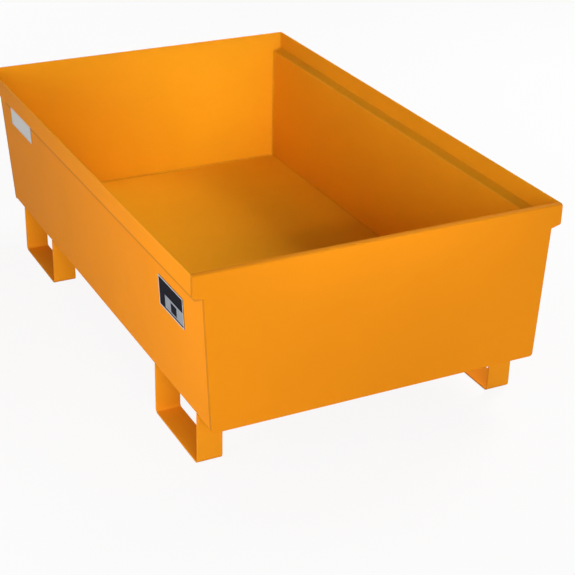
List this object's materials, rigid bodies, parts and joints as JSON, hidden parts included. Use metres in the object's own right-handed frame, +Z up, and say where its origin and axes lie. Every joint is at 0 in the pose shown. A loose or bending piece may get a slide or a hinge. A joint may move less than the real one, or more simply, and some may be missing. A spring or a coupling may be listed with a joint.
{
  "type": "oil spill pan",
  "caption": "Open sheet-steel spill pan with a stepped rim, leaning walls and bent-strip feet that fork tines pass through. It stands under a drum and catches drips of oil.",
  "frame": {"origin": "on the ground, under the middle of the whole pan", "axes": "X across the width with the labels on the -X side, Y from the front panel to the leaning rear panel, +Z up"},
  "size_m": [0.8, 1.263, 0.448],
  "materials": {
    "paint": "smooth yellow-orange coating, nearly matt",
    "weld_paint": "the same coating over the weld beads",
    "label_film": "dark printed film with a pale border and bare fields",
    "label_metal": "satin plate, bare"
  },
  "bodies": {
    "root": {"trough_shell": "paint", "front_panel": "paint", "rear_panel": "paint", "front_left_foot": "paint", "front_right_foot": "paint", "rear_left_foot": "paint", "rear_right_foot": "paint", "front_seam_weld": "weld_paint", "rear_seam_weld": "weld_paint", "front_left_foot_weld": "weld_paint", "front_right_foot_weld": "weld_paint", "rear_left_foot_weld": "weld_paint", "rear_right_foot_weld": "weld_paint", "front_label": "label_film", "rear_label": "label_metal"}
  },
  "joints": []
}
